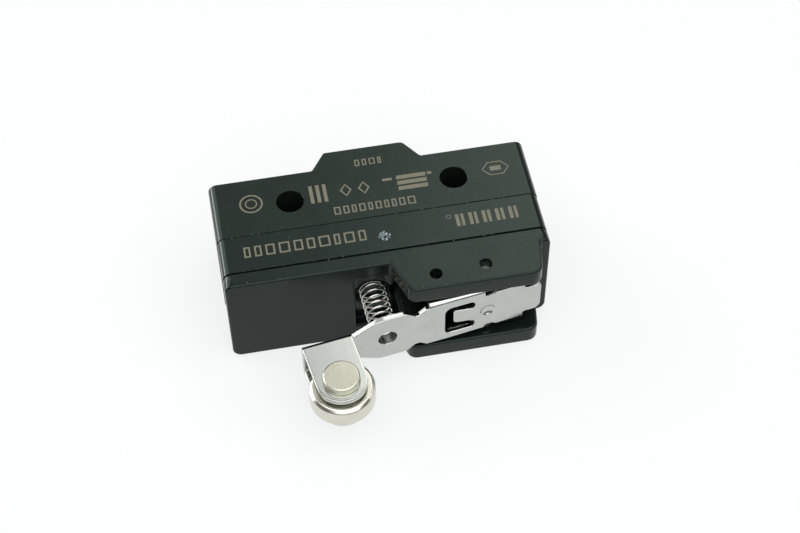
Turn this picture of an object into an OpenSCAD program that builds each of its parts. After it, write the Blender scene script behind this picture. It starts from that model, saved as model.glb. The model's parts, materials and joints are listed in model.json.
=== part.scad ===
// Large snap-action basic switch with a short hinge roller lever and screw terminals.
// It lies on its side: +Z runs along the mounting holes, z = 0 is the mounting face,
// -Y is the actuator side, +Y the terminal side and +X the end that holds the hinge.
// The origin is midway between the two mounting holes. Millimetres.

/* [Body] */
// Length of the cover and the lever housing along X
body_length = 49.2; // [48:0.1:51]
// How far each end of the case stands proud of the cover
case_proud = 0.1; // [0.05:0.05:0.2]
// Thickness of the body along the mounting holes
body_thickness = 17.45; // [17:0.05:18]
// Radius of the body's long edges
edge_radius = 1.4; // [0.8:0.1:1.6]
// Hole line to the terminal face of the case
back_face = 5.38; // [5:0.02:6]
// Hole line to the joint between case and cover
case_joint = 5.45; // [5.2:0.05:5.8]
// Hole line to the joint between cover and lever housing
cover_joint = 12.12; // [12:0.02:12.4]
// Hole line to the flat actuator face
front_face = 14.67; // [14.5:0.01:15]
// Height of the terminal hump above the terminal face
hump_height = 3.3; // [3:0.1:4]
// Width of the hump at its foot
hump_foot = 17; // [16:0.5:18]
// Width of the hump at its top
hump_top = 12.4; // [11.5:0.1:13]

/* [Mounting holes] */
// Distance between the two mounting holes
hole_spacing = 25.4; // [25.3:0.1:25.5]
// Diameter of the mounting holes
hole_d = 4.2; // [4.1:0.1:4.3]

/* [Lever housing] */
// Hole line to the front of the two hinge walls
wall_front = 20.37; // [20:0.01:20.8]
// Thickness of each hinge wall
wall_thickness = 3.1; // [2.9:0.1:3.2]
// Foot of the walls' sloping end, along X
wall_foot_x = 0.15; // [0.1:0.05:0.3]
// Top of the walls' sloping end, along X
wall_top_x = 2.2; // [2:0.05:2.3]
// Foot of the walls' steep end, along X
wall_end_foot_x = 22.95; // [22.8:0.05:23.1]
// Top of the walls' steep end, along X
wall_end_top_x = 22; // [21.8:0.05:22.2]
// Hinge pin, along X
pivot_x = 14.03; // [13.9:0.01:14.1]
// Hinge pin, distance from the hole line
pivot_y = 17.35; // [17.2:0.05:17.5]
// Spare hinge hole, along X
spare_x = 6.44; // [6.3:0.02:6.6]
// Spare hinge hole, distance from the hole line
spare_y = 17.8; // [17.6:0.1:18]
// Diameter of the hinge holes' mouths
hinge_hole_d = 1.9; // [1.75:0.05:2]
// Diameter of the hinge pin
pin_d = 1.6; // [1.5:0.05:1.65]

/* [Lever] */
// Angle that the lever stands away from the body when it is free
lever_angle = 8.25; // [8:0.05:8.5]
// Thickness of the lever's sheet steel
sheet = 0.9; // [0.85:0.05:1]
// Hinge pin to the lever's outer face
lever_offset = 2.234; // [2.2:0.01:2.3]
// Full width of the lever over its side flanges
lever_width = 9.9; // [9.6:0.1:10]
// Hinge pin to the spring boss, along the lever
boss_reach = 16.16; // [16:0.02:16.3]
// Hinge pin to the roller axis, along the lever
roller_reach = 25.5; // [25.3:0.05:25.6]
// Hinge pin to the roller axis, square to the lever
roller_rise = 9.14; // [9:0.02:9.2]
// Diameter of the roller
roller_d = 9.8; // [9.5:0.1:9.9]
// Width of the roller
roller_width = 4; // [3.8:0.1:4.1]

/* [Plunger and spring] */
// Plunger axis, along X
plunger_x = 2.8; // [2.7:0.05:2.85]
// Diameter of the plunger
plunger_d = 3.9; // [3.8:0.05:3.9]
// Return spring at its seat in the housing, along X
seat_x = -2.45; // [-2.5:0.05:-2.35]
// Return spring at its lever end, along X
boss_x = -1.85; // [-1.95:0.05:-1.75]
// Outer diameter of the return spring
spring_d = 4.2; // [4.1:0.05:4.25]
// Wire diameter of the return spring
wire_d = 0.28; // [0.26:0.02:0.34]
// Turns of the return spring
spring_turns = 9; // [7:1:10]

/* [Terminals and contacts] */
// Distance of the outer terminal screws from the centre
terminal_x = 19.5; // [19.4:0.1:19.6]
// Thickness of the brass terminal strip
strip = 1; // [0.9:0.1:1]
// Diameter of the terminal screws' threads
screw_d = 4; // [3.5:0.1:4]
// Travel that separates the moving contact from the opposite contact
contact_gap = 0.5; // [0.3:0.1:0.6]
// Position of the contacts along X
contact_x = 12.5; // [12:0.1:12.8]

/* [Hidden] */

$fn = 48;
tiny = 0.02;
mid_z = body_thickness / 2;
case_end = body_length / 2 + case_proud;
hump_face = back_face + hump_height;

// Interior chamber, shared by the case and the cover
chamber_x = 20.4;
chamber_low = 2.2;
chamber_floor = 2.95;
chamber_roof = 10.6;
joint_lip = 0.8;
lip_clearance = 0.1;

// Lever housing
inner_low = wall_thickness;
inner_high = body_thickness - wall_thickness;
pocket_start_x = -5.3;
pocket_end_x = 21.2;
pocket_floor = 13;
pin_recess = 1.4;
seat_rim_r = 2.75;
seat_rim_depth = 0.35;
seat_bore_r = spring_d / 2 + 0.25;
heel_x = [18.6, 22];
heel_width = 5;

// Screws that hold the three mouldings together, one in each corner
corner_x = 22;
corner_z = 2.7;
corner_screw_r = 0.95;
corner_head_r = 1.5;
corner_head = 1.2;
corner_tip = 14;

// Terminals
plate_length = 7.8;
plate_width = 8.85;
leg_width = 6;
tongue = 0.8;
side_leg_x = 15.6;
no_leg_x = -5;
screw_clearance = 0.3;
recess_depth = 4.5;
head_d = 7;
head_height = 2.2;
washer_d = 8;
washer_height = 0.6;
screw_length = 5.2;

// Contacts: distances from the hole line, growing towards the plunger
blade_y = 6.5;
blade_sheet = 0.3;
blade_side = blade_sheet / 2;
contact_head = 0.65;
contact_r = 1.6;
blade_start = -19.5;
blade_end = 14.2;
rivet_x = -18;
nc_face = blade_y + blade_side + contact_head + tiny;
no_face = blade_y - blade_side - contact_head - contact_gap;
nc_arm = nc_face + 1;

// Lever, in its own frame: origin on the hinge pin, x along the lever away from
// the roller, y square to it towards the body, z as the body's
plate_back = -lever_offset + sheet;
flange_half = lever_width / 2;
bend_r = 1;
flat_half = 4.05;
fork_half = 3.275;
fork_bend = 1.2;
ear_radius = 3.8;
flange = [-9.5, -0.7];
notch = [0.05, 4.85];
notch_r = 1.3;
ear_bottom_r = 1.7;
heel = [5.7, 8.32];
heel_half = 2.95;
window = [-7.06, -2.3];
window_half = 3.05;
tab_half = 1.45;
tab_end = -5.5;
tab_angle = 8;
boss_hole_r = 1.45;
boss_height = 0.9;
dimple_r = 1.6;
dimple_depth = 0.6;
shank_r = 1.2;
rivet_head_r = 2.85;
rivet_head = 1.1;

// Plunger tip: just clear of the lever's inner face
tip_radius = 4;
tip_gap = 0.04;
lever_back_y = pivot_y - plate_back / cos(lever_angle)
    + (pivot_x - plunger_x) * tan(lever_angle);
plunger_tip = lever_back_y - tip_radius * (1 / cos(lever_angle) - 1) - tip_gap;

// ---------------------------------------------------------------- helpers

// Raises an X-Z profile so that it fills the stretch from y = low to y = high
module along_y(low, high) {
    translate([0, high, 0])
        rotate([90, 0, 0])
            linear_extrude(high - low)
                children();
}

// Round bar along Y at the place (x, z)
module bar_y(x, z, r, low, high) {
    along_y(low, high)
        translate([x, z])
            circle(r);
}

// Round bar along Z at the place (x, y)
module bar_z(x, y, r, low, high) {
    translate([x, y, low])
        cylinder(h = high - low, r = r);
}

// Block given by its three spans
module block(x, y, z) {
    translate([x[0], y[0], z[0]])
        cube([x[1] - x[0], y[1] - y[0], z[1] - z[0]]);
}

// Rectangle with round corners, centred on x = 0 and standing on z = 0
module round_rect(width, height, r) {
    translate([-width / 2 + r, 0])
        square([width - 2 * r, height]);
    translate([-width / 2, r])
        square([width, height - 2 * r]);
    for (x = [-1, 1], z = [r, height - r])
        translate([x * (width / 2 - r), z])
            circle(r);
}

// Outline with each corner [x, y, radius] turned into an arc
function unit(v) = v / norm(v);
function corner_arc(before, at, after, r, steps = 6) =
    let (u = unit(before - at), v = unit(after - at))
    let (half = acos(u * v) / 2)
    let (centre = at + unit(u + v) * r / sin(half))
    let (a = at + u * r / tan(half) - centre, b = at + v * r / tan(half) - centre)
    let (start = atan2(a[1], a[0]), turn = atan2(a[0] * b[1] - a[1] * b[0], a * b))
    [for (i = [0:steps]) centre + r * [cos(start + turn * i / steps), sin(start + turn * i / steps)]];
function xy(p) = [p[0], p[1]];
function rounded(p) = [
    for (i = [0:len(p) - 1])
        each p[i][2] == 0 ? [xy(p[i])] : corner_arc(
            xy(p[(i + len(p) - 1) % len(p)]), xy(p[i]), xy(p[(i + 1) % len(p)]), p[i][2])
];

module body_slab(low, high, proud = 0) {
    along_y(low, high)
        round_rect(body_length + 2 * proud, body_thickness, edge_radius);
}

module corner_holes(r, low, high) {
    for (x = [-1, 1], z = [corner_z, body_thickness - corner_z])
        bar_y(x * corner_x, z, r, low, high);
}

// ---------------------------------------------------------------- mouldings

module case() {
    color([0.10, 0.11, 0.11])
    difference() {
        intersection() {
            body_slab(-case_joint, hump_face, case_proud);
            linear_extrude(body_thickness)
                polygon(rounded([
                    [-case_end, -case_joint, 0], [case_end, -case_joint, 0],
                    [case_end, back_face, 0], [hump_foot / 2, back_face, 0.6],
                    [hump_top / 2, hump_face, 1], [-hump_top / 2, hump_face, 0.6],
                    [-hump_foot / 2, back_face, 0.6], [-case_end, back_face, 0]
                ]));
        }
        block([-chamber_x, chamber_x], [-case_joint - 1, -chamber_floor],
            [chamber_low, body_thickness - chamber_low]);
        for (side = [-1, 1])
            bar_z(side * hole_spacing / 2, 0, hole_d / 2, -1, body_thickness + 1);
        for (side = [-1, 1]) {
            bar_y(side * terminal_x, mid_z, screw_d / 2 + screw_clearance,
                back_face - recess_depth, back_face + 1);
            leg_slot(side > 0 ? side_leg_x : -side_leg_x - strip, back_face + 1);
        }
        bar_y(0, mid_z, screw_d / 2 + screw_clearance, hump_face - recess_depth, hump_face + 1);
        leg_slot(no_leg_x, hump_face + 1);
        corner_holes(corner_screw_r + 0.1, -case_joint - 1, back_face + 1);
        corner_holes(corner_head_r + 0.15, back_face - corner_head - 0.1, back_face + 1);
    }
}

// Slot that a terminal's leg passes through
module leg_slot(x, outside) {
    block([x - 0.05, x + strip + 0.05], [-chamber_floor - 1, outside],
        [mid_z - leg_width / 2 - 0.05, mid_z + leg_width / 2 + 0.05]);
}

module cover() {
    color([0.09, 0.10, 0.10])
    difference() {
        union() {
            body_slab(-cover_joint, -case_joint);
            block([-chamber_x + lip_clearance, chamber_x - lip_clearance],
                [-case_joint - tiny, -case_joint + joint_lip],
                [chamber_low + lip_clearance, body_thickness - chamber_low - lip_clearance]);
        }
        difference() {
            block([-chamber_x + joint_lip, chamber_x - joint_lip],
                [-chamber_roof, -case_joint + joint_lip + 1],
                [chamber_low + joint_lip, body_thickness - chamber_low - joint_lip]);
            bar_y(plunger_x, mid_z, plunger_d / 2 + 1.4, -chamber_roof - 1, -chamber_roof + 1);
        }
        bar_y(plunger_x, mid_z, plunger_d / 2 + 0.05, -cover_joint - 1, -chamber_roof + 2);
        corner_holes(corner_screw_r + 0.1, -cover_joint - 1, -case_joint + 1);
    }
}

// Side view of the two hinge walls
module wall_outline() {
    polygon(rounded([
        [wall_foot_x, -front_face + 0.5, 0], [wall_foot_x, -front_face, 0],
        [wall_top_x, -wall_front, 1.5], [wall_end_top_x, -wall_front, 1.6],
        [wall_end_foot_x, -front_face, 0], [wall_end_foot_x, -front_face + 0.5, 0]
    ]));
}

module lever_housing() {
    color([0.09, 0.10, 0.10])
    difference() {
        union() {
            difference() {
                union() {
                    body_slab(-front_face, -cover_joint);
                    intersection() {
                        linear_extrude(body_thickness)
                            wall_outline();
                        body_slab(-wall_front, -cover_joint);
                    }
                }
                block([pocket_start_x, pocket_end_x], [-wall_front - 1, -pocket_floor],
                    [inner_low, inner_high]);
                block([wall_foot_x, wall_end_foot_x + 1], [-wall_front - 1, -front_face],
                    [inner_low, inner_high]);
            }
            heel_stop();
        }
        bar_y(seat_x, mid_z, seat_rim_r, -front_face, -pocket_floor + seat_rim_depth);
        bar_y(seat_x, mid_z, seat_bore_r, -front_face, -cover_joint + 1);
        bar_y(plunger_x, mid_z, plunger_d / 2 + 0.35, -front_face, -cover_joint + 1);
        bar_z(spare_x, -spare_y, hinge_hole_d / 2, -1, body_thickness + 1);
        bar_z(pivot_x, -pivot_y, pin_d / 2, -1, body_thickness + 1);
        for (z = [-1, body_thickness - pin_recess])
            bar_z(pivot_x, -pivot_y, hinge_hole_d / 2, z, z + pin_recess + 1);
        corner_holes(corner_screw_r, -corner_tip - 0.1, -cover_joint + 1);
    }
}

// Ledge under the lever's heel: it sets the free position
module heel_stop() {
    heel_rest = pivot_y - plate_back / cos(lever_angle) - (heel_x[1] - pivot_x) * tan(lever_angle);
    block(heel_x, [-heel_rest + 0.03, -pocket_floor + 0.2],
        [mid_z - heel_width / 2, mid_z + heel_width / 2]);
}

module assembly_screws() {
    color([0.62, 0.62, 0.60])
    for (x = [-1, 1], z = [corner_z, body_thickness - corner_z])
        difference() {
            union() {
                bar_y(x * corner_x, z, corner_screw_r, -corner_tip, back_face - 0.3);
                bar_y(x * corner_x, z, corner_head_r, back_face - corner_head, back_face - 0.1);
            }
            cross_slot(x * corner_x, z, 2, 0.4, back_face - 0.7, back_face);
        }
}

// Cross-shaped driver recess, cut along Y
module cross_slot(x, z, length, width, low, high) {
    along_y(low, high)
        translate([x, z])
            for (turn = [45, 135])
                rotate(turn)
                    square([length, width], center = true);
}

module hinge_pin() {
    color([0.80, 0.80, 0.78])
    bar_z(pivot_x, -pivot_y, pin_d / 2, pin_recess, body_thickness - pin_recess);
}

// ---------------------------------------------------------------- lever

// Places what is drawn in the lever's own frame
module lever_frame() {
    translate([pivot_x, -pivot_y, mid_z])
        rotate([0, 0, lever_angle])
            children();
}

// One long edge of the lever's flat plate, from the fork to the heel
upper_edge = [
    [-roller_reach + ear_radius - 0.4, 2.2, 0], [-17.5, 4.65, 3.5], [-13.1, 4.6, 1.2],
    [-11.8, 3.5, 0.4], [-11.1, 3.45, 0.4], [flange[0] - 0.1, 4.6, 0.3],
    [flange[0], flange_half - bend_r, 0], [flange[1], flange_half - bend_r, 0],
    [flange[1], flat_half, 0], [heel[0] - 0.1, flat_half, 0.3],
    [heel[0], heel_half, 0.2], [heel[1], heel_half, 0.6]
];
lower_edge = [for (i = [len(upper_edge) - 1:-1:0])
    [upper_edge[i][0], -upper_edge[i][1], i == len(upper_edge) - 1 ? 1.3 : upper_edge[i][2]]];

// Flat outline of the lever's plate, seen square to it
module lever_outline() {
    difference() {
        polygon(rounded(concat(upper_edge, lower_edge)));
        for (side = [-1, 1])
            translate([notch[0], side * notch[1]])
                circle(notch_r);
        translate([-boss_reach, 0])
            circle(boss_hole_r);
        window_outline();
    }
}

// Window with round corners; the tongue in it is drawn on its own
module window_outline() {
    slot_r = (window_half - tab_half) / 2;
    difference() {
        polygon(rounded([
            [window[0], -window_half, 0.8], [window[1], -window_half, 0],
            [window[1], window_half, 0], [window[0], window_half, 1.2]
        ]));
        translate([window[1] - slot_r, -tab_half])
            square([2 * slot_r, 2 * tab_half]);
        for (side = [-1, 1])
            difference() {
                translate([window[1] - slot_r, side > 0 ? tab_half : -window_half])
                    square([2 * slot_r, 2 * slot_r]);
                translate([window[1] - slot_r, side * (tab_half + slot_r)])
                    circle(slot_r);
            }
    }
}

module lever() {
    color([0.78, 0.77, 0.74])
    lever_frame()
    difference() {
        union() {
            lever_plate();
            side_flanges();
            fork();
            spring_boss();
            window_tongue();
            dimple_back();
        }
        translate([notch[0] - 0.3, -lever_offset - dimple_r + dimple_depth, 0])
            sphere(dimple_r, $fn = 64);
        bar_z(0, 0, pin_d / 2 + 0.05, -mid_z, mid_z);
        bar_z(-roller_reach, -roller_rise, shank_r, -mid_z, mid_z);
    }
}

module lever_plate() {
    translate([0, plate_back, 0])
        rotate([90, 0, 0])
            linear_extrude(sheet)
                lever_outline();
}

// Two side walls bent towards the body; their ends carry the hinge pin
module side_flanges() {
    for (side = [-1, 1]) {
        translate([0, 0, side > 0 ? flange_half - sheet : -flange_half])
            linear_extrude(sheet) {
                circle(ear_bottom_r);
                polygon([
                    [flange[0], -lever_offset + bend_r], [flange[0], plate_back + 0.3],
                    [flange[0] + 0.8, 0.4], [0, ear_bottom_r], [ear_bottom_r, 0],
                    [0.5, plate_back + 0.2], [flange[1], plate_back + 0.1],
                    [flange[1], -lever_offset + bend_r]
                ]);
            }
        translate([flange[0], -lever_offset + bend_r, side * (flange_half - bend_r)])
            rotate([0, 90, 0])
                cylinder(h = flange[1] - flange[0], r = bend_r);
    }
}

// Fork that holds the roller: a web with two ears bent away from the body
module fork() {
    for (side = [-1, 1])
        translate([0, 0, side > 0 ? fork_half - sheet : -fork_half])
            linear_extrude(sheet) {
                translate([-roller_reach, -roller_rise])
                    circle(ear_radius, $fn = 96);
                translate([-roller_reach - ear_radius, -roller_rise])
                    square([2 * ear_radius, roller_rise - lever_offset]);
            }
    intersection() {
        translate([-roller_reach - ear_radius, plate_back, 0])
            rotate([90, 0, 90])
                linear_extrude(2 * ear_radius)
                    difference() {
                        fork_section(fork_half, fork_bend);
                        translate([-sheet, 0])
                            fork_section(fork_half - sheet, fork_bend - sheet);
                    }
        block([-40, -10], [-lever_offset - 1.5, plate_back], [-5, 5]);
    }
}

// Outer or inner outline of the fork's bend; its back is at x = 0
module fork_section(half, bend) {
    translate([-5, -half + bend])
        square([5, 2 * half - 2 * bend]);
    translate([-5, -half])
        square([5 - bend, 2 * half]);
    for (side = [-1, 1])
        translate([-bend, side * (half - bend)])
            circle(bend);
}

// Drawn collar that the return spring fits over
module spring_boss() {
    difference() {
        bar_y(-boss_reach, 0, boss_hole_r + 0.25, -lever_offset + 0.5, plate_back + boss_height);
        bar_y(-boss_reach, 0, boss_hole_r, -lever_offset - 1, plate_back + 2);
    }
}

// Tongue left standing in the window and bent a little inwards
module window_tongue() {
    root = window[1] + 0.1;
    translate([root, plate_back, 0])
        rotate([0, 0, -tab_angle])
            rotate([90, 0, 0])
                linear_extrude(sheet)
                    polygon(rounded([
                        [0.2, -tab_half, 0], [0.2, tab_half, 0],
                        [tab_end - root, tab_half, 0.3], [tab_end - root, -tab_half, 0.6]
                    ]));
}

// Shallow bump behind the dimple pressed over the hinge pin
module dimple_back() {
    bump_r = 3.2;
    intersection() {
        translate([notch[0] - 0.3, plate_back + 0.25 - bump_r, 0])
            sphere(bump_r, $fn = 64);
        block([-3, 3], [plate_back - 0.2, 0], [-3, 3]);
    }
}

module roller() {
    half = roller_width / 2;
    r = roller_d / 2;
    color([0.74, 0.72, 0.68])
    lever_frame()
        translate([-roller_reach, -roller_rise, 0])
            rotate_extrude($fn = 96)
                polygon(rounded([
                    [shank_r + 0.05, -half, 0], [3, -half, 0], [3.2, -half + 0.2, 0],
                    [r - 0.5, -half + 0.2, 0.3], [r, -half + 0.7, 0.5],
                    [r, half - 0.7, 0.5], [r - 0.5, half - 0.2, 0.3],
                    [3.2, half - 0.2, 0], [3, half, 0], [shank_r + 0.05, half, 0]
                ]));
}

module roller_rivet() {
    tail_r = 2.1;
    tail = 0.9;
    color([0.80, 0.78, 0.74])
    lever_frame()
        translate([-roller_reach, -roller_rise, 0])
            rotate_extrude($fn = 96)
                polygon(rounded([
                    [0, -fork_half - tail, 0], [tail_r - 0.2, -fork_half - tail, 0.3],
                    [tail_r, -fork_half, 0], [shank_r, -fork_half, 0],
                    [shank_r, fork_half, 0], [rivet_head_r, fork_half, 0],
                    [rivet_head_r - 0.2, fork_half + rivet_head, 0.3],
                    [0, fork_half + rivet_head, 0]
                ]));
}

// ---------------------------------------------------------------- spring and plunger

spring_low = cover_joint + 0.03;
spring_high = pivot_y - plate_back / cos(lever_angle)
    + (pivot_x - boss_x) * tan(lever_angle) - 0.45;
ring_sides = 8;
turn_steps = 14;
closed_end = 0.4;

// Share of the spring's height reached after a number of turns; its end turns are closed
function climb(turns) =
    (turns - closed_end * (min(turns, 1) + max(turns - spring_turns + 1, 0)))
    / (spring_turns - 2 * closed_end);

// Point on the wire's surface: ring i of the helix, side j of the ring
function helix_point(i, j) =
    let (turn = 360 * i / turn_steps, side = 360 * j / ring_sides, up = climb(i / turn_steps))
    let (r = (spring_d - wire_d) / 2 + wire_d / 2 * cos(side))
    [seat_x + (boss_x - seat_x) * up + r * cos(turn), -spring_low - wire_d / 2
        - (spring_high - spring_low - wire_d) * up
        - wire_d / 2 * sin(side), mid_z + r * sin(turn)];

module return_spring() {
    rings = spring_turns * turn_steps;
    points = [for (i = [0:rings], j = [0:ring_sides - 1]) helix_point(i, j)];
    sides = [for (i = [0:rings - 1], j = [0:ring_sides - 1])
        let (k = (j + 1) % ring_sides)
        [i * ring_sides + j, (i + 1) * ring_sides + j,
            (i + 1) * ring_sides + k, i * ring_sides + k]];
    first = [[for (j = [0:ring_sides - 1]) j]];
    last = [[for (j = [ring_sides - 1:-1:0]) rings * ring_sides + j]];
    color([0.75, 0.74, 0.70])
    polyhedron(points, concat(sides, first, last), convexity = 10);
}

module plunger() {
    color([0.08, 0.08, 0.08])
    intersection() {
        union() {
            bar_y(plunger_x, mid_z, plunger_d / 2, -plunger_tip - 1, -chamber_roof + 1);
            bar_y(plunger_x, mid_z, plunger_d / 2 + 0.9, -chamber_roof + 1.1, -chamber_roof + 2.1);
            bar_y(plunger_x, mid_z, 1.3, -chamber_roof, -blade_y - blade_side - tiny);
        }
        union() {
            translate([plunger_x, -plunger_tip + tip_radius, mid_z])
                sphere(tip_radius, $fn = 96);
            bar_y(plunger_x, mid_z, tip_radius, -plunger_tip + tip_radius, 0);
        }
    }
}

// ---------------------------------------------------------------- terminals

// Outer plate with its screw hole
module terminal_plate(x, centre, face) {
    difference() {
        block(x, [face, face + strip], [mid_z - plate_width / 2, mid_z + plate_width / 2]);
        bar_y(centre, mid_z, screw_d / 2 + 0.05, face - 1, face + strip + 1);
    }
}

module leg(x, low, high) {
    block([x, x + strip], [low, high], [mid_z - leg_width / 2, mid_z + leg_width / 2]);
}

// Arm inside the chamber
module arm(x, low, high, width = leg_width) {
    block(x, [low, high], [mid_z - width / 2, mid_z + width / 2]);
}

module com_terminal() {
    foot = -blade_y + blade_side;
    color([0.80, 0.66, 0.34])
    difference() {
        union() {
            terminal_plate([-side_leg_x - plate_length, -side_leg_x], -terminal_x, back_face);
            leg(-side_leg_x - strip, foot, back_face + strip);
            arm([blade_start - 0.1, -side_leg_x], foot, foot + tongue);
            arm([-side_leg_x - tiny, -12.2], -4.7, -3.9, 2.65);
            arm([-12.9, -12.2], -5.3, -3.9, 2.65);
        }
        bar_y(rivet_x, mid_z, 0.7, foot - 1, foot + tongue + 1);
    }
}

module no_terminal() {
    color([0.80, 0.66, 0.34])
    difference() {
        union() {
            terminal_plate([no_leg_x, -no_leg_x - 0.4], 0, hump_face);
            leg(no_leg_x, -chamber_floor - tongue, hump_face + strip);
            arm([no_leg_x, contact_x + 1.8], -chamber_floor - tongue, -chamber_floor);
        }
        bar_y(contact_x, mid_z, 0.8, -chamber_floor - tongue - 1, -chamber_floor + 1);
    }
}

module nc_terminal() {
    color([0.80, 0.66, 0.34])
    difference() {
        union() {
            terminal_plate([side_leg_x, side_leg_x + plate_length], terminal_x, back_face);
            leg(side_leg_x, -nc_arm - tongue, back_face + strip);
            arm([contact_x - 1.9, side_leg_x + strip], -nc_arm - tongue, -nc_arm);
        }
        bar_y(contact_x, mid_z, 0.8, -nc_arm - tongue - 1, -nc_arm + 1);
    }
}

// Binding-head terminal screw whose washer rests on a plate at y = face
module terminal_screw(x, face) {
    seat = face + strip + washer_height;
    color([0.82, 0.80, 0.75])
    difference() {
        union() {
            bar_y(x, mid_z, screw_d / 2, seat - screw_length, seat + 1);
            translate([x, seat, mid_z])
                rotate([-90, 0, 0])
                    rotate_extrude()
                        polygon(rounded([
                            [0, 0, 0], [head_d / 2, 0, 0],
                            [head_d / 2 - 0.2, head_height, 0.7], [0, head_height, 0]
                        ]));
        }
        cross_slot(x, mid_z, 4.4, 0.9, seat + head_height - 1.4, seat + head_height + 1);
    }
}

// Toothed square-edged washer under the screw's head
module terminal_washer(x, face) {
    low = face + strip;
    teeth = 16;
    color([0.80, 0.79, 0.76])
    difference() {
        bar_y(x, mid_z, washer_d / 2, low, low + washer_height);
        bar_y(x, mid_z, screw_d / 2 + 0.05, low - 1, low + washer_height + 1);
        for (i = [0:teeth - 1])
            translate([x, low - 1, mid_z])
                rotate([0, 360 * i / teeth, 0])
                    block([washer_d / 2 - 0.55, washer_d / 2 + 1], [0, washer_height + 2],
                        [-0.28, 0.28]);
    }
}

module com_screw() { terminal_screw(-terminal_x, back_face); }
module no_screw() { terminal_screw(0, hump_face); }
module nc_screw() { terminal_screw(terminal_x, back_face); }
module com_washer() { terminal_washer(-terminal_x, back_face); }
module no_washer() { terminal_washer(0, hump_face); }
module nc_washer() { terminal_washer(terminal_x, back_face); }

// ---------------------------------------------------------------- contacts

// Moving blade: two rails with a window on each side of the pressure pad
module contact_blade() {
    rail = 1.5;
    color([0.78, 0.55, 0.32])
    along_y(-blade_y - blade_side, -blade_y + blade_side)
        difference() {
            translate([blade_start, mid_z - leg_width / 2])
                square([blade_end - blade_start, leg_width]);
            translate([-13.8, mid_z - leg_width / 2 + rail])
                square([14.6, leg_width - 2 * rail]);
            translate([5, mid_z - leg_width / 2 + rail])
                square([4.5, leg_width - 2 * rail]);
            translate([rivet_x, mid_z])
                circle(0.7);
            translate([contact_x, mid_z])
                circle(0.8);
        }
}

// Arched leaf between the common terminal's anvil and the blade's pressure pad
module snap_spring() {
    start = [-12.15, -5];
    finish = [0.75, -6.3];
    radius = 20;
    leaf = 0.25;
    chord = finish - start;
    drop = sqrt(radius * radius - chord * chord / 4);
    centre = (start + finish) / 2 + drop * [chord[1], -chord[0]] / norm(chord);
    color([0.80, 0.60, 0.36])
    intersection() {
        difference() {
            bar_z(centre[0], centre[1], radius, mid_z - 1.1, mid_z + 1.1);
            bar_z(centre[0], centre[1], radius - leaf, mid_z - 2, mid_z + 2);
        }
        block([start[0], finish[0]], [-8, -3], [0, body_thickness]);
    }
}

module moving_contact() {
    color([0.86, 0.86, 0.84])
    union() {
        bar_y(contact_x, mid_z, 0.8, -blade_y - 0.4, -blade_y + 0.4);
        bar_y(contact_x, mid_z, contact_r, -nc_face + tiny, -blade_y - blade_side);
        bar_y(contact_x, mid_z, contact_r, -blade_y + blade_side, -no_face - contact_gap);
    }
}

module blade_rivet() {
    foot = -blade_y + blade_side + tongue;
    color([0.80, 0.68, 0.40])
    union() {
        bar_y(rivet_x, mid_z, 0.7, -blade_y - 0.5, foot + 0.4);
        bar_y(rivet_x, mid_z, 1.3, -blade_y - 0.65, -blade_y - blade_side);
        bar_y(rivet_x, mid_z, 1.1, foot, foot + 0.45);
    }
}

module no_contact() {
    color([0.86, 0.86, 0.84])
    union() {
        bar_y(contact_x, mid_z, contact_r, -no_face, -chamber_floor - tongue);
        bar_y(contact_x, mid_z, 0.8, -no_face, -chamber_floor);
    }
}

module nc_contact() {
    color([0.86, 0.86, 0.84])
    union() {
        bar_y(contact_x, mid_z, contact_r, -nc_arm, -nc_face);
        bar_y(contact_x, mid_z, 0.8, -nc_arm - tongue, -nc_face);
    }
}

case();
cover();
lever_housing();
assembly_screws();
hinge_pin();
lever();
roller();
roller_rivet();
return_spring();
plunger();
com_terminal();
no_terminal();
nc_terminal();
com_screw();
no_screw();
nc_screw();
com_washer();
no_washer();
nc_washer();
contact_blade();
snap_spring();
moving_contact();
blade_rivet();
no_contact();
nc_contact();
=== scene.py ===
"""Looks of the limit switch: materials, edge bevels, the coiled return spring and the printed marks.

The object lies on its side. +Z runs along the mounting holes, -Y is the lever's side, +Y the
terminals' and +X the hinge end. Blender works in metres: a length in millimetres is times MM.
"""

import json
import math
import random

import bmesh
import bpy
from mathutils import Matrix, Vector


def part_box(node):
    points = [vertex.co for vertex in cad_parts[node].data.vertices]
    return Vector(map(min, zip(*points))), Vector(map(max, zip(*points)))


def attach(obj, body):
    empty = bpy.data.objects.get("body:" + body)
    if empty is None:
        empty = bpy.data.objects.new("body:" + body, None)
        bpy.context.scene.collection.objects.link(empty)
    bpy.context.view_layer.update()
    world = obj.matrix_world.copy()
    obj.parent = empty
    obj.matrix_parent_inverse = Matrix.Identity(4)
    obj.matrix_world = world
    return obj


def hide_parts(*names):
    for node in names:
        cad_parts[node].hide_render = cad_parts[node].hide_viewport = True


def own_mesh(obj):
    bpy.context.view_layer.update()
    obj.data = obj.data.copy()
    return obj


MM = 0.001
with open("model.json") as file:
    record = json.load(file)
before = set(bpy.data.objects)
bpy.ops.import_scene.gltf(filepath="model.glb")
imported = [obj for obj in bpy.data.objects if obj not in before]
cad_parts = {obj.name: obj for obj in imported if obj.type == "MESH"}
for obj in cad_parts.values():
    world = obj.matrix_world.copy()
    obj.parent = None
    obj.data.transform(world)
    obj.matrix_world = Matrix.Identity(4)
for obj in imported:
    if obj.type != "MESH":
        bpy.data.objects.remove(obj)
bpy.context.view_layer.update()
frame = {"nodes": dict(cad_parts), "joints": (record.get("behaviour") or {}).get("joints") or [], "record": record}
nodes = frame["nodes"]
joints = {j["name"]: j for j in frame["joints"]}
scene = bpy.context.scene

# ---------------------------------------------------------------- places taken from the frame

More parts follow.
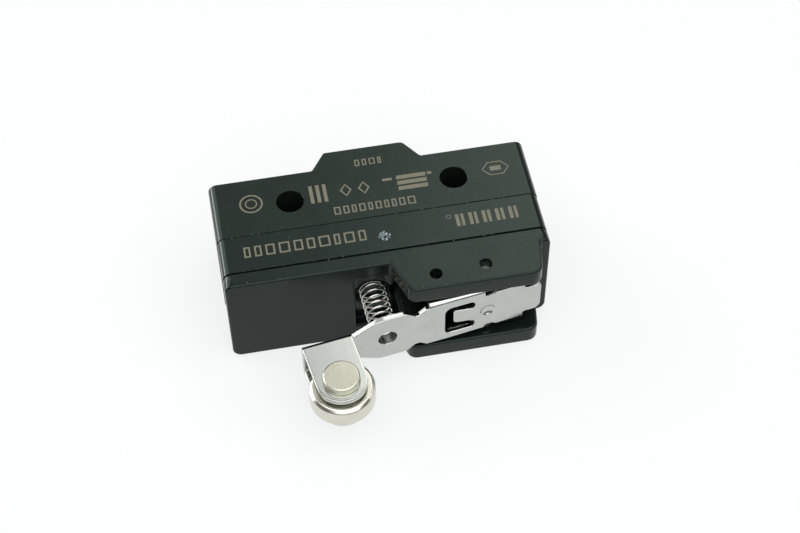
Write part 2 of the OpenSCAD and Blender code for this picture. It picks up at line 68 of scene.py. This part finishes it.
CASE_LOW, CASE_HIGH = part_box("case")
COVER_LOW, COVER_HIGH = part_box("cover")
SPRING_LOW, SPRING_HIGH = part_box("return_spring")
TOP_Z = CASE_HIGH.z
MID_Z = TOP_Z / 2
PIVOT = Vector(joints["lever_pivot"]["pos_m"])


# ---------------------------------------------------------------- shader node helpers

NOISE_SPAN = (0.3, 0.7)  # nearly all of a noise's values lie between these


class Graph:
    """A material's node tree, with short calls for the nodes used here."""

    def __init__(self, name):
        self.material = bpy.data.materials.new(name)
        self.material.use_nodes = True
        self.tree = self.material.node_tree
        self.shader = self.tree.nodes["Principled BSDF"]
        self.place = self.node("ShaderNodeTexCoord").outputs["Object"]

    def put(self, socket, value):
        """Links another socket to this one, or sets its number or colour."""
        if isinstance(value, bpy.types.NodeSocket):
            self.tree.links.new(value, socket)
        else:
            socket.default_value = value

    def node(self, kind, **values):
        """A new node. Each value is for a property, or else for an input, with _ for its spaces."""
        made = self.tree.nodes.new(kind)
        for key, value in values.items():
            if hasattr(made, key):
                setattr(made, key, value)
            else:
                self.put(made.inputs[key.replace("_", " ")], value)
        return made

    def set(self, **values):
        """Sets the shader's own inputs."""
        for key, value in values.items():
            self.put(self.shader.inputs[key.replace("_", " ")], value)

    def math(self, operation, a, b=0.0, clamp=False):
        made = self.tree.nodes.new("ShaderNodeMath")
        made.operation, made.use_clamp = operation, clamp
        self.put(made.inputs[0], a)
        self.put(made.inputs[1], b)
        return made.outputs[0]

    def scaled(self, per_mm, turn=(0, 0, 0)):
        """Object coordinates with the given number of cycles to a millimetre on each axis."""
        scale = Vector(per_mm) / MM
        return self.node(
            "ShaderNodeMapping", Vector=self.place, Rotation=turn, Scale=scale
        ).outputs["Vector"]

    def noise(self, per_mm, detail=3.0, roughness=0.6, turn=(0, 0, 0)):
        """Soft noise, about 0.5. per_mm is one number, or one for each axis."""
        vector = self.scaled(per_mm if hasattr(per_mm, "__len__") else [per_mm] * 3, turn)
        return self.node(
            "ShaderNodeTexNoise", Vector=vector, Scale=1.0, Detail=detail, Roughness=roughness
        ).outputs["Fac"]

    def ramp(self, value, low, high, out_low=0.0, out_high=1.0):
        """The value from low to high, spread over out_low to out_high and held there."""
        return self.node(
            "ShaderNodeMapRange", Value=value,
            From_Min=low, From_Max=high, To_Min=out_low, To_Max=out_high,
        ).outputs["Result"]

    def swing(self, cloud, cloud_by, grain, grain_by):
        """The sum of two noises, each made to swing about 0 by its own amount."""
        return self.math(
            "ADD",
            self.ramp(cloud, *NOISE_SPAN, -cloud_by, cloud_by),
            self.ramp(grain, *NOISE_SPAN, -grain_by, grain_by),
        )

    def specks(self, per_mm, size, share):
        """1 in scattered round specks, else 0. share is how many cells hold one."""
        cells = self.node("ShaderNodeTexVoronoi", Vector=self.scaled([per_mm] * 3), Scale=1.0)
        near = self.math("LESS_THAN", cells.outputs["Distance"], size)
        picked = self.node("ShaderNodeSeparateColor", Color=cells.outputs["Color"])
        chosen = self.math("LESS_THAN", picked.outputs["Red"], share)
        return self.math("MULTIPLY", near, chosen)

    def mix(self, factor, a, b):
        """From colour a to colour b."""
        made = self.tree.nodes.new("ShaderNodeMix")
        made.data_type = "RGBA"
        self.put(made.inputs["Factor"], factor)
        for socket, colour in ((made.inputs["A"], a), (made.inputs["B"], b)):
            self.put(socket, colour if isinstance(colour, bpy.types.NodeSocket) else (*colour, 1.0))
        return made.outputs["Result"]

    def bump(self, height, depth_mm, strength, onto=None):
        """A normal with the height's relief, over the normal of an earlier relief if one is given."""
        made = self.node("ShaderNodeBump", Height=height, Strength=strength, Distance=depth_mm * MM)
        if onto is not None:
            self.put(made.inputs["Normal"], onto)
        return made.outputs["Normal"]


# ---------------------------------------------------------------- materials

DUST_GREY = (0.42, 0.43, 0.41)
SCRATCH_GREY = (0.20, 0.21, 0.20)
PLASTIC_SHEEN = (0.78, 1.0, 0.93, 1.0)  # the moulding's reflections are slightly green


def phenolic(name, base, gloss, dust, level):
    """Black moulding compound: cloudy tone, filler grain, dust specks and fine handling scratches.

    gloss is the mean roughness, dust the share of places that hold a speck and level the
    strength of the reflections.
    """
    g = Graph(name)
    cloud = g.noise(per_mm=0.12, detail=4)
    grain = g.noise(per_mm=9.0, detail=2)
    tone = g.math("ADD", g.swing(cloud, 0.25, grain, 0.25), 0.5, clamp=True)
    dark, pale = [c * 0.7 for c in base], [c * 1.45 for c in base]
    colour = g.mix(tone, dark, pale)

    coarse = g.specks(per_mm=1.3, size=0.055, share=dust)
    fine = g.specks(per_mm=3.1, size=0.07, share=dust * 1.2)
    specks = g.math("MAXIMUM", coarse, g.math("MULTIPLY", fine, 0.5))
    colour = g.mix(g.math("MULTIPLY", specks, 0.45), colour, DUST_GREY)
    streaks = g.noise(per_mm=(0.35, 14.0, 14.0), detail=1, turn=(0, 0, 0.5))
    scratches = g.ramp(streaks, 0.70, 0.76)
    colour = g.mix(g.math("MULTIPLY", scratches, 0.05), colour, SCRATCH_GREY)

    rough = g.ramp(cloud, *NOISE_SPAN, gloss - 0.04, gloss + 0.06)
    rough = g.math("ADD", rough, g.math("MULTIPLY", specks, 0.2))
    relief = g.bump(grain, depth_mm=0.012, strength=0.35)
    relief = g.bump(g.noise(per_mm=0.45, detail=2), depth_mm=0.05, strength=0.25, onto=relief)
    flow = g.node(
        "ShaderNodeTexWave", wave_type="RINGS", rings_direction="Y",
        Vector=g.scaled((1, 1, 1)), Scale=1.1, Distortion=3.0,
    )
    relief = g.bump(flow.outputs["Fac"], depth_mm=0.004, strength=0.2, onto=relief)
    g.set(Base_Color=colour, Roughness=rough, Normal=relief)
    g.set(Specular_IOR_Level=level, Specular_Tint=PLASTIC_SHEEN)
    return g.material


def metal(name, base, gloss, grain=(6.0, 6.0, 6.0), warm=(0.62, 0.52, 0.38), stain=0.06, relief=0.01):
    """Worked metal: rolling or turning grain, a cloudy plated tone and a little staining.

    gloss is the mean roughness, grain the cycles to a millimetre on each axis, warm the colour
    of the stains and relief the grain's depth in millimetres.
    """
    g = Graph(name)
    cloud = g.noise(per_mm=0.35, detail=5)
    lines = g.noise(per_mm=grain, detail=3, roughness=0.7)
    tone = g.math("ADD", g.swing(cloud, 0.2, lines, 0.3), 0.5, clamp=True)
    dark, pale = [c * 0.86 for c in base], [min(1.0, c * 1.1) for c in base]
    colour = g.mix(tone, dark, pale)
    patches = g.ramp(g.noise(per_mm=0.9, detail=6), 0.56, 0.74, 0.0, stain * 4)
    colour = g.mix(patches, colour, warm)
    rough = g.math(
        "ADD",
        g.ramp(cloud, *NOISE_SPAN, gloss - 0.05, gloss + 0.07),
        g.ramp(lines, *NOISE_SPAN, -0.03, 0.03),
    )
    g.set(Base_Color=colour, Roughness=rough, Metallic=1.0)
    g.set(Normal=g.bump(lines, depth_mm=relief, strength=0.5))
    return g.material


def marking(name):
    """Laser-lightened moulding: a warm beige with the filler grain showing through."""
    g = Graph(name)
    grain = g.noise(per_mm=14.0, detail=2)
    patch = g.noise(per_mm=1.4, detail=3)
    colour = g.mix(g.ramp(grain, 0.35, 0.65), (0.098, 0.095, 0.068), (0.168, 0.163, 0.120))
    colour = g.mix(g.ramp(patch, 0.35, 0.75, 0.0, 0.35), colour, (0.12, 0.11, 0.09))
    g.set(Base_Color=colour, Roughness=g.ramp(grain, *NOISE_SPAN, 0.5, 0.7))
    g.set(Normal=g.bump(grain, depth_mm=0.008, strength=0.4), Specular_IOR_Level=0.3)
    return g.material


def flaking_paint(name):
    """Thin inspection paint, broken into flecks."""
    g = Graph(name)
    flakes = g.noise(per_mm=5.5, detail=4, roughness=0.75)
    colour = g.mix(g.ramp(flakes, 0.44, 0.56), (0.06, 0.075, 0.075), (0.40, 0.50, 0.53))
    g.set(Base_Color=colour, Roughness=g.ramp(flakes, 0.4, 0.6, 0.55, 0.35))
    g.set(Normal=g.bump(flakes, depth_mm=0.03, strength=0.6))
    return g.material


# Base colour, gloss, dust and level
PLASTICS = {
    "case_plastic": ((0.0055, 0.0084, 0.0068), 0.21, 0.20, 0.26),
    "cover_plastic": ((0.0044, 0.0070, 0.0060), 0.17, 0.20, 0.26),
    "plunger_plastic": ((0.006, 0.0065, 0.007), 0.22, 0.02, 0.30),
}
# Base colour and gloss, then what differs from a plain metal
METALS = {
    "lever_steel": ((0.502, 0.523, 0.502), 0.17, dict(grain=(4.0, 16.0, 16.0), stain=0.02, relief=0.004)),
    "rivet_steel": ((0.535, 0.53, 0.445), 0.26, dict(grain=(8.0, 8.0, 2.0), stain=0.03, relief=0.004)),
    "roller_steel": ((0.66, 0.65, 0.575), 0.20, dict(grain=(8.0, 8.0, 2.0), stain=0.03, relief=0.004)),
    "pin_steel": ((0.72, 0.72, 0.71), 0.18, dict(grain=(8.0, 8.0, 1.0), stain=0.01)),
    "spring_steel": ((0.74, 0.73, 0.69), 0.18, dict(stain=0.08)),
    "screw_steel": ((0.70, 0.68, 0.63), 0.24, dict(grain=(9.0, 9.0, 9.0), stain=0.03)),
    "terminal_brass": ((0.74, 0.55, 0.25), 0.28, dict(grain=(7.0, 7.0, 7.0), warm=(0.40, 0.24, 0.10))),
    "contact_silver": ((0.82, 0.81, 0.78), 0.26, dict(stain=0.04)),
    "blade_copper": ((0.72, 0.43, 0.25), 0.26, dict(warm=(0.35, 0.18, 0.10))),
}
# The record's material slots, and rivet_steel besides
FINISH = {slot: phenolic(slot, *values) for slot, values in PLASTICS.items()}
for slot, (base, gloss, others) in METALS.items():
    FINISH[slot] = metal(slot, base, gloss, **others)

# ---------------------------------------------------------------- CAD parts: finish and edge bevels

# Node name to the radius of its broken edges, in millimetres
EDGE = {
    "case": 0.13,
    "cover": 0.10,
    "lever_housing": 0.36,
    "plunger": 0.10,
    "roller": 0.06,
    "roller_rivet": 0.15,
    "hinge_pin": 0.20,
}
EDGE_OTHERS = 0.06
BEVEL_ANGLE = math.radians(32)
BEVEL_SEGMENTS = 3
WELD_GAP = 0.002 * MM
FLAT_ANGLE = math.radians(0.6)  # facets that differ by less are one flat face

# The hinge pin's hole and the spare one beside it, whose rims are crisper than the housing's edges
PIN_HOLES = ((PIVOT.x, PIVOT.y), (PIVOT.x - 7.59 * MM, PIVOT.y - 0.45 * MM))
RIM_REACH = 1.2 * MM
RIM_SHARE = 0.15

# Voxel size of the parts whose every edge is rolled over by tumbling, in millimetres
TUMBLED = {"lever": 0.085}
TUMBLE_PASSES = 6


def geometry_modifier(node, title, name):
    """A geometry nodes modifier. Returns its node tree, and the geometry's way in and way out."""
    group = bpy.data.node_groups.new(name, "GeometryNodeTree")
    for way in ("INPUT", "OUTPUT"):
        group.interface.new_socket("Geometry", in_out=way, socket_type="NodeSocketGeometry")
    node.modifiers.new(title, "NODES").node_group = group
    way_in = group.nodes.new("NodeGroupInput").outputs[0]
    way_out = group.nodes.new("NodeGroupOutput").inputs[0]
    return group, way_in, way_out


def fine_edges(node, spots, reach, share):
    """Bevels the edges near the given points by a share of the others. Spots are (x, y) in metres."""
    group, way_in, way_out = geometry_modifier(node, "Fine edges", "fine_edges")
    add, link = group.nodes.new, group.links.new

    def math_node(operation, a, b):
        made = add("ShaderNodeMath")
        made.operation = operation
        for socket, value in ((made.inputs[0], a), (made.inputs[1], b)):
            if isinstance(value, bpy.types.NodeSocket):
                link(value, socket)
            else:
                socket.default_value = value
        return made.outputs[0]

    place = add("ShaderNodeSeparateXYZ")
    link(add("GeometryNodeInputPosition").outputs[0], place.inputs[0])
    near = None
    for x, y in spots:
        dx = math_node("SUBTRACT", place.outputs[0], x)
        dy = math_node("SUBTRACT", place.outputs[1], y)
        distance_squared = math_node(
            "ADD", math_node("MULTIPLY", dx, dx), math_node("MULTIPLY", dy, dy))
        inside = math_node("LESS_THAN", distance_squared, reach * reach)
        near = inside if near is None else math_node("MAXIMUM", near, inside)
    angle = add("GeometryNodeInputMeshEdgeAngle").outputs[0]
    sharp = math_node("GREATER_THAN", angle, BEVEL_ANGLE)
    eased = math_node("SUBTRACT", 1.0, math_node("MULTIPLY", near, 1.0 - share))
    store = add("GeometryNodeStoreNamedAttribute")
    store.data_type, store.domain = "FLOAT", "EDGE"
    store.inputs["Name"].default_value = "bevel_weight_edge"
    link(math_node("MULTIPLY", sharp, eased), store.inputs["Value"])
    link(way_in, store.inputs["Geometry"])
    link(store.outputs["Geometry"], way_out)


def round_shading(node):
    """Shades every face as round, before the edges are bevelled."""
    group, way_in, way_out = geometry_modifier(node, "Round shading", "round_shading")
    smooth = group.nodes.new("GeometryNodeSetShadeSmooth")
    group.links.new(way_in, smooth.inputs["Geometry"])
    group.links.new(smooth.outputs["Geometry"], way_out)


def tumble(node, voxel):
    """Rolls every edge over a little, as tumbling does to stamped sheet."""
    remesh = node.modifiers.new("Fine mesh", "REMESH")
    remesh.mode, remesh.voxel_size = "VOXEL", voxel * MM
    remesh.use_smooth_shade = True
    smooth = node.modifiers.new("Rolled edges", "SMOOTH")
    smooth.factor, smooth.iterations = 0.5, TUMBLE_PASSES


def break_edges(name, node):
    """Bevels the sharp edges, and shades the rest as flat or round as it is."""
    weld = node.modifiers.new("Weld", "WELD")
    weld.merge_threshold = WELD_GAP
    flat = node.modifiers.new("Flat", "DECIMATE")
    flat.decimate_type = "DISSOLVE"
    flat.angle_limit = FLAT_ANGLE
    has_holes = name == "lever_housing"
    if has_holes:
        fine_edges(node, PIN_HOLES, RIM_REACH, RIM_SHARE)
    round_shading(node)
    bevel = node.modifiers.new("Bevel", "BEVEL")
    bevel.width = EDGE.get(name, EDGE_OTHERS) * MM
    bevel.segments = BEVEL_SEGMENTS
    bevel.limit_method = "WEIGHT" if has_holes else "ANGLE"
    bevel.angle_limit = BEVEL_ANGLE
    bevel.use_clamp_overlap = False
    weighted = node.modifiers.new("Even shading", "WEIGHTED_NORMAL")
    weighted.weight, weighted.keep_sharp = 50, True


slots = {part["node"]: part["material_slot"] for part in frame["record"]["subparts"]}
slots["roller_rivet"] = "rivet_steel"  # duller than the roller
for name, node in nodes.items():
    node.data.materials.clear()
    node.data.materials.append(FINISH[slots[name]])
    if name in TUMBLED:
        tumble(node, TUMBLED[name])
    else:
        break_edges(name, node)


# ---------------------------------------------------------------- mesh helpers


def mesh_object(name, mesh, material, body, smooth=True):
    """A piece made from a bmesh, riding on a body."""
    data = bpy.data.meshes.new(name)
    mesh.to_mesh(data)
    mesh.free()
    data.materials.append(material)
    for face in data.polygons:
        face.use_smooth = smooth
    piece = bpy.data.objects.new(name, data)
    scene.collection.objects.link(piece)
    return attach(piece, body)


def bridge(mesh, first, second):
    """Faces between two closed rings of as many vertices."""
    count = len(first)
    for k in range(count):
        n = (k + 1) % count
        mesh.faces.new((first[k], first[n], second[n], second[k]))


def tube(points, radius, sides=14):
    """A closed round wire along the points."""
    mesh = bmesh.new()
    last = len(points) - 1
    across = None
    rings = []
    for i, point in enumerate(points):
        tangent = (points[min(i + 1, last)] - points[max(i - 1, 0)]).normalized()
        if across is None:
            across = tangent.orthogonal().normalized()
        across = (across - tangent * across.dot(tangent)).normalized()
        up = tangent.cross(across)
        rings.append([
            mesh.verts.new(point + radius * (across * math.cos(a) + up * math.sin(a)))
            for a in (2 * math.pi * k / sides for k in range(sides))
        ])
    for first, second in zip(rings, rings[1:]):
        bridge(mesh, first, second)
    mesh.faces.new(list(reversed(rings[0])))
    mesh.faces.new(rings[-1])
    bmesh.ops.recalc_face_normals(mesh, faces=mesh.faces)
    return mesh


# ---------------------------------------------------------------- return spring

SPRING_R = 2.1 * MM  # outer
WIRE_R = 0.14 * MM
COILS = 9.0
CLOSED = 0.9  # coils wound close at each end
CLOSED_PITCH = 2.15 * WIRE_R
STEPS = 40  # points to a coil
START_TURN = 0.6  # radians
LEVER_REACH = 0.12 * MM  # past the CAD spring, to meet the tilted plate
LEVER_TILT = math.radians(8.25)


def spring_points():
    """The wire's centre line, from its seat in the housing to the lever.

    The coils open out from the close wound ends, and the last one tilts with the lever's plate.
    """
    seat, top = SPRING_HIGH.y - WIRE_R, SPRING_LOW.y - LEVER_REACH
    seat_x, top_x = SPRING_LOW.x + SPRING_R, SPRING_HIGH.x - SPRING_R
    r = SPRING_R - WIRE_R
    open_pitch = (seat - top - 2 * CLOSED * CLOSED_PITCH) / (COILS - 2 * CLOSED)
    wound, y = [], seat
    for i in range(int(COILS * STEPS) + 1):
        coil = i / STEPS
        from_end = min(coil, COILS - coil)
        ease = min(1.0, max(0.0, from_end - CLOSED + 0.5))  # over one coil, half of it either side
        wound.append((coil, y))
        y -= (CLOSED_PITCH + (open_pitch - CLOSED_PITCH) * ease * ease * (3 - 2 * ease)) / STEPS
    length = wound[-1][1] - seat
    points = []
    for coil, y in wound:
        share = (y - seat) / length
        turn = 2 * math.pi * coil + START_TURN
        dx, dz = r * math.cos(turn), r * math.sin(turn)
        tilt = math.tan(LEVER_TILT) * dx * share ** 4
        points.append(Vector((
            seat_x + share * (top_x - seat_x) + dx,
            seat + share * (top - seat) + tilt,
            MID_Z + dz,
        )))
    return points


spring = mesh_object("spring_coil", tube(spring_points(), WIRE_R), FINISH["spring_steel"], "body")
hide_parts("return_spring")
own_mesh(spring)

# ---------------------------------------------------------------- printed marks

MARK_THICK = 0.012 * MM
BOX_WIDTHS = (0.45, 0.85)  # of an outlined box, as shares of its height
LEAST_ROOM = 0.5  # a row ends where there is less than this left, in millimetres


class Print:
    """Thin flat shapes on the top face, gathered into one piece. Places and sizes are in millimetres."""

    def __init__(self):
        self.mesh = bmesh.new()

    def prism(self, outline):
        """A filled convex shape."""
        low = [self.mesh.verts.new((x * MM, y * MM, TOP_Z - MARK_THICK / 2)) for x, y in outline]
        high = [self.mesh.verts.new((x * MM, y * MM, TOP_Z + MARK_THICK)) for x, y in outline]
        self.mesh.faces.new(list(reversed(low)))
        self.mesh.faces.new(high)
        bridge(self.mesh, low, high)

    def round_points(self, x, y, rx, ry, count, turn=0.0):
        """The corners of a polygon with radius rx and ry, the first one turned by that many radians."""
        turns = [turn + 2 * math.pi * k / count for k in range(count)]
        return [(x + rx * math.cos(a), y + ry * math.sin(a)) for a in turns]

    def bar(self, x, y, width, height, lean=0.0):
        w, h = width / 2, height / 2
        self.prism([
            (x - w - lean, y - h), (x + w - lean, y - h), (x + w + lean, y + h), (x - w + lean, y + h),
        ])

    def band(self, outer, inner):
        """Closed outline between two rings with as many points."""
        for k in range(len(outer)):
            n = (k + 1) % len(outer)
            self.prism([outer[k], outer[n], inner[n], inner[k]])

    def ring(self, x, y, rx, ry, line, count=40):
        """An outlined circle or, with a low count, a polygon."""
        self.band(
            self.round_points(x, y, rx, ry, count),
            self.round_points(x, y, rx - line, ry - line, count),
        )

    def row(self, x_low, x_high, y, height, line, rng, gap=0.42):
        """A row of plain outlined boxes of uneven width."""
        x = x_low
        while x < x_high - LEAST_ROOM:
            w, h = min(height * rng.uniform(*BOX_WIDTHS), x_high - x) / 2, height / 2
            outer = [(x, y - h), (x + 2 * w, y - h), (x + 2 * w, y + h), (x, y + h)]
            inner = [
                (x + line, y - h + line), (x + 2 * w - line, y - h + line),
                (x + 2 * w - line, y + h - line), (x + line, y + h - line),
            ]
            self.band(outer, inner)
            x += 2 * w + gap

    def piece(self, name, material, slot_name):
        """Ends the print as a piece on the switch's body."""
        bmesh.ops.recalc_face_normals(self.mesh, faces=self.mesh.faces)
        made = mesh_object(name, self.mesh, material, "body", smooth=False)


mark_ink = marking("mark_ink")
rng = random.Random(7)

case_print = Print()
for radius, line in ((1.8, 0.27), (0.95, 0.2)):
    case_print.ring(-18.6, 0.55, radius, radius, line)
for x in (-9.3, -8.25, -7.2):
    case_print.bar(x, 0.6, 0.55, 3.5)
for x in (-4.0, -1.2):  # diamonds
    case_print.ring(x, 0.55, 0.92, 1.25, 0.3, count=4)
for y in (1.55, 0.45, -0.65):
    case_print.bar(6.3, y, 4.6, 0.75, lean=0.05)
case_print.bar(2.55, 1.45, 1.5, 0.5)
case_print.bar(9.2, 1.6, 0.7, 0.5)
case_print.row(-1.8, 2.35, 5.65, 1.3, 0.2, rng)
case_print.ring(19.4, 0.6, 2.15, 1.55, 0.2, count=6)
case_print.bar(19.4, 0.6, 1.7, 0.9)
case_print.row(-6.4, 6.9, -3.25, 1.5, 0.22, rng)
case_print.piece("case_marks", mark_ink, "case_plastic")

cover_print = Print()
cover_print.row(-20.9, -1.9, -8.65, 2.0, 0.27, rng, gap=0.6)
for k in range(5):  # pairs of upright bars
    x = 11.3 + 2.05 * k
    cover_print.bar(x + 0.3, -8.5, 0.55, 2.3)
    cover_print.bar(x + 1.1, -8.5, 0.45, 2.3)
cover_print.ring(10.35, -7.6, 0.4, 0.4, 0.1, count=24)
cover_print.piece("cover_marks", mark_ink, "cover_plastic")

# ---------------------------------------------------------------- seams, chips and the paint dot

COVER_CORNER = 1.4 * MM  # radius of the body's edges that run along Y
CORNER_STEPS = 6
SEAM_STEP = 0.3 * MM
SEAM_DRIFT = 0.02  # of the line to and fro, in millimetres
SEAM_HALF_WIDTHS = (0.035, 0.06)  # in millimetres
SEAM_OPENS = 0.03  # more half width at the hinge end, in millimetres
SEAM_SUNK, SEAM_PROUD = -0.03 * MM, 0.006 * MM
COVER_LIP = 0.8 * MM  # the cover reaches this far into the case, behind the seam

# Chips and the dot's flecks are polygons on the top face. Their places and radii are in millimetres,
# and FLAT is the radius along Y as a share of the other one.
CHIP_ROWS = (  # x from and to, y, how many
    (-24, 24, -5.45, 16), (-24, 24, -12.12, 20), (-24, 0, -14.3, 6), (3, 21, -19.9, 6),
)
CHIP_SCATTER = 0.12
CHIP_RADII, CHIP_FLAT, CHIP_CORNERS = (0.025, 0.065), (0.4, 0.9), 6
DOT_X, DOT_Y, DOT_R = 0.2, -9.32, 0.85
DOT_FLECKS = 40
FLECK_RADII, FLECK_FLAT, FLECK_CORNERS = (0.09, 0.24), (0.5, 1.0), 7


def seam_loop():
    """Points round the cover's outline, each with the direction out of the moulding."""
    low, high = COVER_LOW, COVER_HIGH
    corners = (
        (high.x - COVER_CORNER, high.z - COVER_CORNER), (low.x + COVER_CORNER, high.z - COVER_CORNER),
        (low.x + COVER_CORNER, low.z + COVER_CORNER), (high.x - COVER_CORNER, low.z + COVER_CORNER),
    )
    path = []
    for quarter, (x, z) in enumerate(corners):
        for k in range(CORNER_STEPS + 1):
            a = math.radians(90 * quarter + 90 / CORNER_STEPS * k)
            path.append((Vector((x, 0, z)), Vector((math.cos(a), 0, math.sin(a)))))
    loop = []
    for (centre, out), (next_centre, next_out) in zip(path, path[1:] + path[:1]):
        start, end = centre + out * COVER_CORNER, next_centre + next_out * COVER_CORNER
        steps = max(1, round((end - start).length / SEAM_STEP))
        for k in range(steps):
            loop.append((start.lerp(end, k / steps), out.lerp(next_out, k / steps).normalized()))
    return loop


def seam(name, y, rng):
    """The line where two mouldings meet, round the whole body: a dark, slightly ragged sheet painted as the shadow
    in the gap.
    """
    mesh = bmesh.new()
    rings = []
    for point, out in seam_loop():
        drift = rng.uniform(-SEAM_DRIFT, SEAM_DRIFT) * MM
        along = (point.x - COVER_LOW.x) / (COVER_HIGH.x - COVER_LOW.x)
        half = (rng.uniform(*SEAM_HALF_WIDTHS) + SEAM_OPENS * along) * MM
        rings.append([
            mesh.verts.new(point + out * lift + Vector((0, y + drift + side * half, 0)))
            for side, lift in ((-1, SEAM_SUNK), (-1, SEAM_PROUD), (1, SEAM_PROUD), (1, SEAM_SUNK))
        ])
    for first, second in zip(rings, rings[1:] + rings[:1]):
        bridge(mesh, first, second)
    bmesh.ops.recalc_face_normals(mesh, faces=mesh.faces)
    made = mesh_object(name, mesh, seam_shadow, "body", smooth=False)


def chips(name, rows, rng):
    """Tiny pale moulding chips along the seams and edges of the top face."""
    mark = Print()
    for x_low, x_high, y, count in rows:
        for _ in range(count):
            x, r = rng.uniform(x_low, x_high), rng.uniform(*CHIP_RADII)
            off, flat = rng.uniform(-CHIP_SCATTER, CHIP_SCATTER), rng.uniform(*CHIP_FLAT)
            mark.prism(mark.round_points(x, y + off, r, r * flat, CHIP_CORNERS, turn=x))
    mark.piece(name, chip_pale, "case_plastic")


def paint_dot(name, rng):
    """Flecks of paint, scattered evenly over a round spot."""
    dot = Print()
    for _ in range(DOT_FLECKS):
        reach, turn = DOT_R * math.sqrt(rng.random()), rng.uniform(0, 2 * math.pi)
        r, flat = rng.uniform(*FLECK_RADII), rng.uniform(*FLECK_FLAT)
        x, y = DOT_X + reach * math.cos(turn), DOT_Y + reach * math.sin(turn)
        dot.prism(dot.round_points(x, y, r, r * flat, FLECK_CORNERS, turn))
    dot.piece(name, flaking_paint("inspection_paint"), "cover_plastic")


# Near-black material for the seams: painted shadow of the gap between the mouldings
seam_shadow = phenolic("seam_shadow", (0.0012, 0.0014, 0.0012), gloss=0.75, dust=0.02, level=0.05)
chip_pale = phenolic("chip_pale", (0.26, 0.29, 0.27), gloss=0.55, dust=0.3, level=0.27)
seam("case_seam", COVER_HIGH.y - COVER_LIP, rng)
seam("cover_seam", COVER_LOW.y, rng)
chips("seam_chips", CHIP_ROWS, rng)
paint_dot("inspection_dot", rng)

# ---------------------------------------------------------------- stage, light and camera

FLOOR_HALF = 12.0  # metres
FLOOR_GLOW = 0.745  # the sheet passes some light from below, like a light table
FLOOR_TINT = (0.985, 0.995, 1.0, 1.0)
AIR_TINT, AIR_STRENGTH = (0.97, 0.99, 1.0, 1.0), 0.20

bpy.ops.mesh.primitive_plane_add(size=2 * FLOOR_HALF)
floor = bpy.context.object
floor.name = "floor"
floor.location.z = CASE_LOW.z
g = Graph("pale_floor")
paper = g.mix(g.noise(per_mm=0.004, detail=2), (0.145, 0.147, 0.147), (0.155, 0.157, 0.157))
g.set(Base_Color=paper, Roughness=0.9, Emission_Color=FLOOR_TINT, Emission_Strength=FLOOR_GLOW)
floor.data.materials.append(g.material)

world = bpy.data.worlds.new("studio")
scene.world = world
world.use_nodes = True
air = world.node_tree.nodes["Background"]
air.inputs["Color"].default_value = AIR_TINT
air.inputs["Strength"].default_value = AIR_STRENGTH

# Name, place and aim in metres, size in metres, watts and colour
SOFTBOXES = (
    ("overhead", (0.15, -0.54, 0.60), (0.15, -0.54, 0), (1.3, 1.3), 11.8, (1.0, 1.0, 0.97)),
    ("back_wide", (-0.05, 0.65, 0.69), (0, 0, 0), (1.1, 0.46), 1.16, (1.0, 1.0, 1.0)),
    ("back_right", (0.36, 0.53, 0.72), (0, 0, 0), (0.5, 0.46), 1.35, (1.0, 1.0, 0.93)),
    ("left_low", (-0.80, 0.55, 0.10), (0, 0, 0.01), (0.8, 0.18), 5.4, (1.0, 1.0, 1.0)),
    ("left_high", (-0.74, 0.50, 0.46), (0, 0, 0.01), (0.9, 0.6), 3.8, (1.0, 1.0, 1.0)),
    ("right", (0.85, 0.10, 0.30), (0, 0, 0.01), (0.6, 0.4), 0.8, (1.0, 1.0, 1.0)),
)
for name, at, aim, size, power, colour in SOFTBOXES:
    light = bpy.data.lights.new(name, "AREA")
    light.shape, light.size, light.size_y = "RECTANGLE", size[0], size[1]
    light.energy, light.color = power, colour
    box = bpy.data.objects.new(name, light)
    scene.collection.objects.link(box)
    box.location = at
    box.rotation_euler = (Vector(aim) - Vector(at)).to_track_quat("-Z", "Y").to_euler()

CAMERA_AT = Vector((-25.79, -170.15, 220.83)) * MM
CAMERA_AXES = (  # right, up and back
    (0.98299, -0.18350, -0.00790),
    (0.15001, 0.77726, 0.61103),
    (-0.10598, -0.60182, 0.79157),
)
camera_data = bpy.data.cameras.new("camera")
camera_data.lens, camera_data.sensor_width = 78.3, 36.0  # millimetres
camera_data.clip_start, camera_data.clip_end = 0.01, 40.0  # metres
camera = bpy.data.objects.new("camera", camera_data)
scene.collection.objects.link(camera)
camera.matrix_world = Matrix.Translation(CAMERA_AT) @ Matrix(CAMERA_AXES).transposed().to_4x4()
scene.camera = camera
scene.view_settings.view_transform = "Standard"

# ---------------------------------------------------------------- end

bpy.context.view_layer.update()
